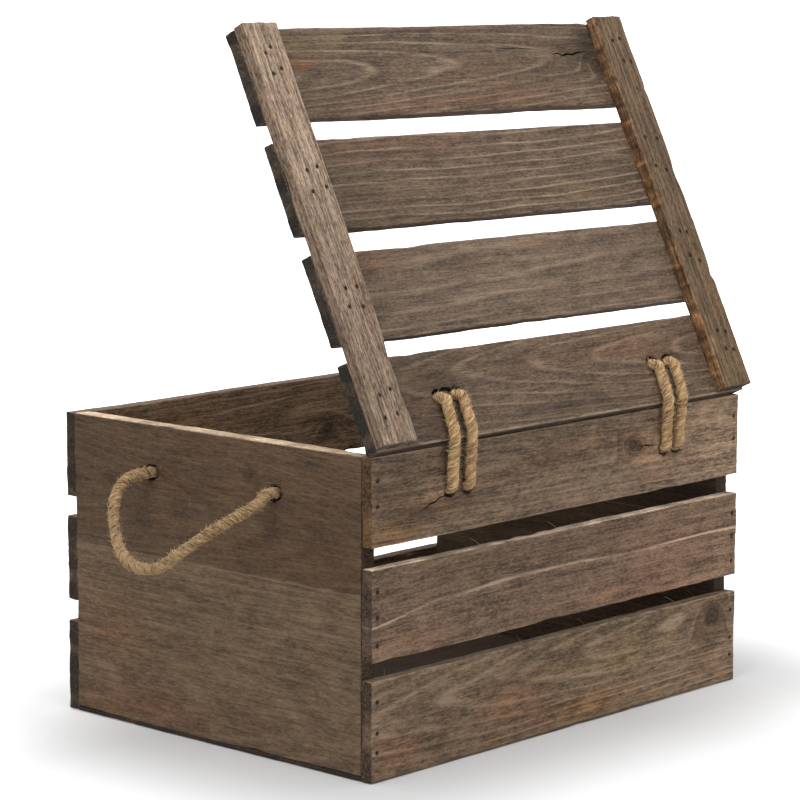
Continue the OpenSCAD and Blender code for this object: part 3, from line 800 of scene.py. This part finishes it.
class Recipe:
    """A Geometry Nodes tree with named inputs."""

    def __init__(self, name, inputs):
        self.tree = bpy.data.node_groups.new(name, "GeometryNodeTree")
        face = self.tree.interface
        face.new_socket("Geometry", in_out="INPUT", socket_type="NodeSocketGeometry")
        face.new_socket("Geometry", in_out="OUTPUT", socket_type="NodeSocketGeometry")
        for label, (kind, value) in inputs.items():
            socket = face.new_socket(label, in_out="INPUT", socket_type="NodeSocket" + kind)
            if value is not None:
                socket.default_value = value
        self.start = self.tree.nodes.new("NodeGroupInput")
        self.end = self.tree.nodes.new("NodeGroupOutput")

    def given(self, name):
        return self.start.outputs[name]

    def node(self, kind, settings=None, inputs=None, out=0):
        return pick(add_node(self.tree, kind, settings, inputs).outputs, out)

    def scatter(self, points, instance, rotation, smallest, largest):
        """Ends the tree: the instance on each point at a random size, as plain geometry in the given material."""
        size = self.random(smallest, largest)
        geometry = self.node("GeometryNodeInstanceOnPoints", {}, {
            "Points": points, "Instance": instance, "Rotation": rotation, "Scale": size})
        real = self.node("GeometryNodeRealizeInstances", {}, {"Geometry": geometry})
        coated = self.node("GeometryNodeSetMaterial", {}, {"Geometry": real, "Material": self.given("Material")})
        self.tree.links.new(coated, self.end.inputs[0])

    def random(self, low, high):
        return self.node("FunctionNodeRandomValue", {"data_type": "FLOAT"},
                         {"Min": low, "Max": high, "Seed": self.given("Seed")}, "Value")

    def grow(self, obj, **values):
        """Runs the tree on obj and keeps the result as its plain mesh."""
        modifier = obj.modifiers.new("grow", "NODES")
        modifier.node_group = self.tree
        for item in self.tree.interface.items_tree:
            if item.in_out == "INPUT" and item.name.replace(" ", "_") in values:
                modifier[item.identifier] = values[item.name.replace(" ", "_")]
        bake_modifiers(obj)
        obj.data.shade_smooth()
        return obj


def nail_recipe():
    r = Recipe("nail_heads", {"Head Radius": ("Float", 0.0011), "Head Depth": ("Float", 0.0006),
                              "Seed": ("Int", 3), "Material": ("Material", None)})
    head = r.node("GeometryNodeMeshCylinder", {}, {"Vertices": 12, "Radius": r.given("Head Radius"),
                                                   "Depth": r.given("Head Depth")}, "Mesh")
    facing = r.node("GeometryNodeInputNamedAttribute", {"data_type": "FLOAT_VECTOR"}, {"Name": "facing"}, "Attribute")
    turned = r.node("FunctionNodeAlignRotationToVector", {"axis": "Z"}, {"Vector": facing})
    r.scatter(r.given("Geometry"), head, turned, 0.85, 1.12)
    return r


def loose_fibre_recipe():
    """Thin curved hairs standing on a surface."""
    r = Recipe("loose_fibres", {"Density": ("Float", 60000.0), "Reach": ("Float", 0.0026), "Rise": ("Float", 0.4),
                                "Thickness": ("Float", 0.0001), "Seed": ("Int", 1), "Material": ("Material", None)})
    spots = add_node(r.tree, "GeometryNodeDistributePointsOnFaces", {}, {
        "Mesh": r.given("Geometry"), "Density": r.given("Density"), "Seed": r.given("Seed")}).outputs
    hair = r.node("GeometryNodeCurvePrimitiveBezierSegment", {}, {
        "Resolution": 5, "Start": (0, 0, -0.08), "Start Handle": (0.3, 0.08, 0.42), "End Handle": (0.65, -0.08, 0.8),
        "End": (1.0, 0.08, 0.95)})
    rise = r.node("ShaderNodeMath", {"operation": "MULTIPLY"}, {0: r.given("Reach"), 1: r.given("Rise")})
    span = r.node("ShaderNodeCombineXYZ", {}, {"X": r.given("Reach"), "Y": r.given("Reach"), "Z": rise})
    hair = r.node("GeometryNodeTransform", {}, {"Geometry": hair, "Scale": span})
    ring = r.node("GeometryNodeCurvePrimitiveCircle", {"mode": "RADIUS"},
                  {"Resolution": 3, "Radius": r.given("Thickness")}, "Curve")
    sliver = r.node("GeometryNodeCurveToMesh", {}, {"Curve": hair, "Profile Curve": ring})
    spin = r.node("FunctionNodeAxisAngleToRotation", {}, {"Axis": (0, 0, 1), "Angle": r.random(-3.1, 3.1)})
    turned = r.node("FunctionNodeRotateRotation", {"rotation_space": "LOCAL"},
                    {"Rotation": spots["Rotation"], "Rotate By": spin})
    r.scatter(spots["Points"], sliver, turned, 0.35, 1.25)
    return r


nail_heads, loose_fibres = nail_recipe(), loose_fibre_recipe()


def make_nails(name, places, node, body, seed):
    """Nail heads at (point, outward direction), each a little below the wood."""
    points = [Vector(p) - Vector(n).normalized() * 0.9 * MM for p, n in places]
    obj = add_mesh(name, points, [])
    note(obj.data, "facing", "FLOAT_VECTOR", [tuple(Vector(n).normalized()) for p, n in places])
    nail_heads.grow(obj, Head_Radius=1.1 * MM, Head_Depth=0.8 * MM, Seed=seed, Material=iron)
    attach(obj, body)
    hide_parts(node)


def slat_nails(face, y):
    return [((s * NAIL_IN * MM, y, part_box(f"{face}_slat_{level}")[0].z + up * MM), (0, 1 if y > 0 else -1, 0))
            for level, heights in SLAT_NAIL_UP.items() for s in (-1, 1) for up in heights]


make_nails("back_nail_heads", slat_nails("back", BACK_OUT), "back_nails", "crate", 4)
make_nails("front_nail_heads", slat_nails("front", -BACK_OUT), "front_nails", "crate", 5)
make_nails("base_nail_heads", [
    ((s * BASE_NAIL_IN * MM, i * BASE_NAIL_GAP * MM, -0.6 * MM), (0, 0, -1))
    for s in (-1, 1) for i in range(-2, 3)], "base_nails", "crate", 6)
lid_top = LID_UNDER + 2 * LID_BOARD * MM
lid_out = open_lid.to_3x3() @ Vector((0, 0, 1))
make_nails("lid_nail_heads", [
    (open_lid @ Vector((side * at * MM, BACK_OUT - v * MM, lid_top)), lid_out)
    for side in (-1, 1) for at, v in lid_nails(side)], "lid_nails", "lid", 7)


def make_splinters(name, strips, body, seed, density):
    """Loose fibres standing on narrow strips of wood, each a pair of corners at the same height."""
    verts, faces = [], []
    for k, (low, high) in enumerate(strips):
        corners = (low[0], low[1]), (high[0], low[1]), (high[0], high[1]), (low[0], high[1])
        verts += [(x, y, low[2]) for x, y in corners]
        faces.append(tuple(range(4 * k, 4 * k + 4)))
    obj = add_mesh(name, verts, faces)
    loose_fibres.grow(obj, Density=density, Reach=8 * MM, Rise=0.7, Thickness=0.14 * MM, Seed=seed,
                      Material=splinter_wood)
    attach(obj, body)


def top_strip(node):
    """The outer half of a slat's top edge."""
    low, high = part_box(node)
    z, outer = high.z - 0.4 * MM, high.y if high.y > 0 else low.y
    a, b = sorted((outer, outer - math.copysign(4 * MM, outer)))
    return (low.x + 0.006, a + 0.4 * MM, z), (high.x - 0.006, b - 0.4 * MM, z)


make_splinters("crate_splinters", [top_strip(n) for n in (
    "back_slat_middle", "back_slat_lower", "front_slat_middle", "front_slat_lower")], "crate", 12, 4500.0)


# ---- ropes

def carried_frames(path):
    """Two directions square to the path at each point, carried along it without twisting."""
    tangent = np.gradient(path, axis=0)
    tangent /= np.linalg.norm(tangent, axis=1, keepdims=True)
    side = np.cross(tangent[0], (0.3, 0.2, 0.93))
    sides = []
    for t in tangent:
        side = side - t * (side @ t)
        side /= np.linalg.norm(side)
        sides.append(side)
    sides = np.array(sides)
    return sides, np.cross(tangent, sides)


def laid_rope(name, path, diameter, seed, twist=27 * MM, tint=(1, 1, 1)):
    """Three strands laid round each other along the path, as one mesh with closed ends."""
    n, around = len(path), 14
    u, v = carried_frames(path)
    step = np.linalg.norm(path[1] - path[0])
    s = np.arange(n) * step
    verts, faces, lay, groove = [], [], [], []
    for strand in range(3):
        loose = 1 + 0.05 * wander(s, 9 * MM, seed * 5 + strand)
        turn = 2 * math.pi * (s / twist + strand / 3) + 0.35 * wander(s, 30 * MM, seed * 3)
        centre = path + (u * np.cos(turn)[:, None] + v * np.sin(turn)[:, None]) * diameter * 0.158
        cu, cv = carried_frames(centre)
        fade = np.minimum(np.arange(n), np.arange(n)[::-1]) / 3.0
        radius = diameter * 0.342 * loose * np.sqrt(np.clip(1 - (1 - np.clip(fade, 0, 1)) ** 2, 0.02, 1))
        for i in range(n):
            for k in range(around):
                angle = 2 * math.pi * k / around
                ply = angle - 2 * math.pi * s[i] / (13 * MM)
                bulge = 1 + 0.05 * math.cos(4 * ply)
                place = centre[i] + (cu[i] * math.cos(angle) + cv[i] * math.sin(angle)) * radius[i] * bulge
                verts.append(place)
                lay.append((s[i] + strand * 0.7 + seed, radius[i] * math.cos(ply), radius[i] * math.sin(ply)))
                # How far in towards the rope's middle each point lies, for the painted shade in its grooves.
                groove.append(np.linalg.norm(place - path[i]) / (diameter / 2))
        first = strand * n * around
        faces += [(first + i * around + k, first + i * around + (k + 1) % around,
                   first + (i + 1) * around + (k + 1) % around, first + (i + 1) * around + k)
                  for i in range(n - 1) for k in range(around)]
        faces += [tuple(first + k for k in range(around))[::-1],
                  tuple(first + (n - 1) * around + k for k in range(around))]
    obj = add_mesh(name, verts, faces, jute_rope)
    note(obj.data, "lay", "FLOAT_VECTOR", lay)
    note(obj.data, "groove", "FLOAT", groove)
    note(obj.data, "tint", "FLOAT_COLOR", [(*tint, 1)] * len(verts))
    obj.data.shade_smooth()
    return obj


def lint_on(rope, name, seed, density=170000.0):
    """Loose hairs standing off a rope."""
    obj = bpy.data.objects.new(name, rope.data.copy())
    bpy.context.scene.collection.objects.link(obj)
    loose_fibres.grow(obj, Density=density, Reach=2.6 * MM, Rise=0.42, Thickness=0.085 * MM, Seed=seed,
                      Material=jute_lint)
    obj.data.materials.clear()
    obj.data.materials.append(jute_lint)
    return obj


STRAND_ON_LID = [[28.8, 0.5], [28.4, 9.5], [25.8, 13.8], [19, 14.4], [1, 14.4]]
STRAND_ON_CRATE = [[7.4, 0], [5.1, 17], [4, 25], [1, 28.5], [-8.5, 29.4], [-14, 29.5]]
STRAND_SHARE = [0, 0, 0, 0.1, 0.4, 0.6, 0.9, 1, 1, 1, 1]
STRAND_BOW = [0, 0, 0, 1.2, 3.6, 4.2, 3.6, 2.4, 0.8, 0, 0]       # how far each strand wanders sideways
# Bands where a rope was to pass from following the crate to following the lid or handle; make_rope takes them but does
# not use them. A handle's are along X.
HINGE_BAND = (0, 0.154, 0.192), (0, 0.1485, 0.238)
HANDLE_BAND = 0.2005, 0.2165
HANDLE_POINTS = [[7.5, -60, 0], [17, -62, 1], [28, -62, 7], [37, -58, 18], [44, -50, 30], [53, -35, 43], [59, -14, 51],
                 [61, 10, 49], [58, 29, 37], [48, 44, 24], [33, 54, 14], [16, 61, 5], [7.5, 60, 0]]


def hinge_route(side):
    yz = [lid_point(v, w) for v, w in STRAND_ON_LID]
    yz += [(BACK_OUT / MM + out, RIM / MM - drop) for out, drop in STRAND_ON_CRATE]
    ways = [[(x0 + (x1 - x0) * share + bow, y, z) for share, bow, (y, z) in zip(STRAND_SHARE, STRAND_BOW, yz)]
            for x0, x1 in zip(LID_HOLE_X[side], CRATE_HOLE_X[side])]
    a, b = CRATE_HOLE_X[side]
    mid, r = (a + b) / 2, (a - b) / 2
    bend = [(mid + r * math.cos(t), BACK_OUT / MM - 14 - abs(r) * math.sin(t), RIM / MM - CRATE_HOLE_DROP)
            for t in (math.pi / 4, math.pi / 2, 3 * math.pi / 4)]
    return np.array(ways[0] + bend + ways[1][::-1]) * MM


def handle_route(side):
    through = (0.5 - END_THICK / MM, -5, 1)
    points = ([[out, -60, 0] for out in through] + HANDLE_POINTS + [[out, 60, 0] for out in through[::-1]])
    return np.array([(side * (END_OUT / MM + out), side * along, HANDLE_Z / MM - drop)
                     for out, along, drop in points]) * MM


def stopper_knot(name, at, away, body, seed, size=18 * MM):
    """An overhand knot pulled tight against the wood, with a short tail. It lies from at along away."""
    away = Vector(away).normalized()
    basis = away.to_track_quat("Z", "Y").to_matrix() @ Matrix.Rotation(seed * 1.7, 3, "Z")
    t = np.linspace(0.30, 2 * math.pi - 0.30, 30)
    loop = np.stack([np.sin(t) + 2 * np.sin(2 * t), np.cos(t) - 2 * np.cos(2 * t), -np.sin(3 * t) * 1.25], 1)
    loop = loop @ np.array(Matrix.Rotation(math.radians(90), 3, "X")) * (size / 2 - 3.0 * MM) / 3.0
    loop[:, 2] += size * 0.5
    start = np.array([[0, 0, 0], [0, 0, 2.0 * MM]])
    tail = loop[-1] + (loop[-1] - loop[-3]) / np.linalg.norm(loop[-1] - loop[-3]) * np.array([[3 * MM], [8 * MM]])
    path = np.vstack([start, loop, tail]) @ np.array(basis).T + np.array(at)
    knot = laid_rope(name, smooth_path(path, ROPE_STEP), 6.6 * MM, seed, twist=22 * MM)
    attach(knot, body)
    return knot


def make_rope(kind, name, route, seeds, tint, knots, other, start, end):
    """One rope with its hairs and its knots. other, start and end, for a blend from the crate on to another body
    between two points, are not used. seeds: strands, hairs.
    """
    path = smooth_path(route, ROPE_STEP)
    rope = laid_rope(f"{kind}_rope_{name}_laid", path, ROPE, seeds[0], tint=tint)
    hairs = lint_on(rope, f"{kind}_rope_{name}_lint", seeds[1])
    knots = [stopper_knot(f"{kind}_knot_{name}_{k}", *knot) for k, knot in enumerate(knots)]
    for piece in (rope, hairs):
        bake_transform(piece)
    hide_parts(f"{kind}_rope_{name}")
    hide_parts(f"{kind}_knots_{name}")


def make_hinge_rope(side, name):
    inward = open_lid.to_3x3() @ Vector((0, 0, -1))
    places = [open_lid @ Vector((x * MM, BACK_OUT - LID_HOLE_V * MM, LID_UNDER + 0.6 * MM)) for x in LID_HOLE_X[side]]
    make_rope("hinge", name, hinge_route(side), (3 + side, 20 + side), (1.26, 1.26, 1.32),
              [(at, inward, "lid", 30 + side * 2 + k, 15.5 * MM) for k, at in enumerate(places)],
              "lid", *HINGE_BAND)


def make_handle(side, name):
    inside = side * (END_OUT - END_THICK + 0.5 * MM)
    make_rope("handle", name, handle_route(side), (8 + side, 24 + side), (0.87, 0.87, 0.92),
              [((inside, y, HANDLE_Z), (-side, 0, 0), "crate", 40 + side * 2 + k, 18 * MM)
               for k, y in enumerate((-HANDLE_HOLE_Y, HANDLE_HOLE_Y))],
              "handle_" + name, *[(side * x, 0, HANDLE_Z) for x in HANDLE_BAND])


for side, name in ((0, "right"), (1, "left")):
    make_hinge_rope(side, name)
for side, name in ((1, "right"), (-1, "left")):
    make_handle(side, name)


# ---- floor and light

def make_floor():
    """White paper that takes the crate's shadow near it and is plain white farther out."""
    f = Finish("pale_floor")
    seen = f.node("ShaderNodeLightPath", out="Is Camera Ray")
    place = f.node("ShaderNodeTexCoord", out="Object")
    beside = f.vector("SUBTRACT", f.vector("ABSOLUTE", place), (0.2, 0.149, 0))
    away = f.vector("LENGTH", f.vector("MAXIMUM", beside, (0, 0, 0)), out="Value")
    side, front = (f.node("ShaderNodeSeparateXYZ", {}, {"Vector": place}, axis) for axis in ("X", "Y"))
    lit = f.node("ShaderNodeBsdfDiffuse", {}, {"Color": (0.71, 0.71, 0.71)})
    # Painted light seen only by the camera: the glow grows with distance from the crate and on its -y and -x sides,
    # setting how far and how dark its shadow shows.
    glow = f.node("ShaderNodeEmission", {}, {"Color": (1, 1, 1), "Strength":
                  f.between(away, 0.02, 0.20) * 0.48 + f.between(away, 0.3, 1.5) * 0.6
                  + f.between(front, -0.04, -0.18) * 0.32 + f.between(side, -0.05, -0.20) * 0.14})
    both = f.node("ShaderNodeAddShader", {}, {0: lit, 1: glow})
    shown = f.node("ShaderNodeMixShader", {}, {0: seen, 1: lit, 2: both})
    floor = add_mesh("floor", [(-60, -60, 0), (60, -60, 0), (60, 60, 0), (-60, 60, 0)], [(0, 1, 2, 3)], f.close(shown))
    floor.location.z = -0.0006


def make_world():
    world = bpy.data.worlds.new("studio")
    world.use_nodes = True
    bpy.context.scene.world = world
    tree = world.node_tree
    tree.nodes.clear()
    path = add_node(tree, "ShaderNodeLightPath", {}, {}).outputs
    white = add_node(tree, "ShaderNodeBackground", {}, {"Color": (1, 1, 1)})
    dome = add_node(tree, "ShaderNodeBackground", {}, {"Color": (0.97, 0.985, 1), "Strength": 0.36})
    clear = add_node(tree, "ShaderNodeMath", {"operation": "MAXIMUM"},
                     {0: path["Is Camera Ray"], 1: path["Is Glossy Ray"]})
    mix = add_node(tree, "ShaderNodeMixShader", {}, {0: clear.outputs[0], 1: dome.outputs[0], 2: white.outputs[0]})
    add_node(tree, "ShaderNodeOutputWorld", {}, {0: mix.outputs[0]})


def add_softbox(name, at, size, power):
    data = bpy.data.lights.new(name, "AREA")
    data.shape, data.size, data.energy = "SQUARE", size, power
    light = bpy.data.objects.new(name, data)
    light.location = at
    light.rotation_mode = "QUATERNION"
    light.rotation_quaternion = (Vector(at) - Vector((0, 0, 0.2))).to_track_quat("Z", "Y")
    bpy.context.scene.collection.objects.link(light)


make_floor()
make_world()
add_softbox("overhead", (0.3, 0.2, 2.6), 2.2, 44)
add_softbox("key", (2.3, 0.6, 1.7), 1.3, 16)
add_softbox("fill", (0.5, 2.6, 1.4), 1.5, 15)
add_softbox("front fill", (-1.4, -2.3, 1.2), 1.6, 7)
bpy.context.scene.view_settings.view_transform = "Standard"
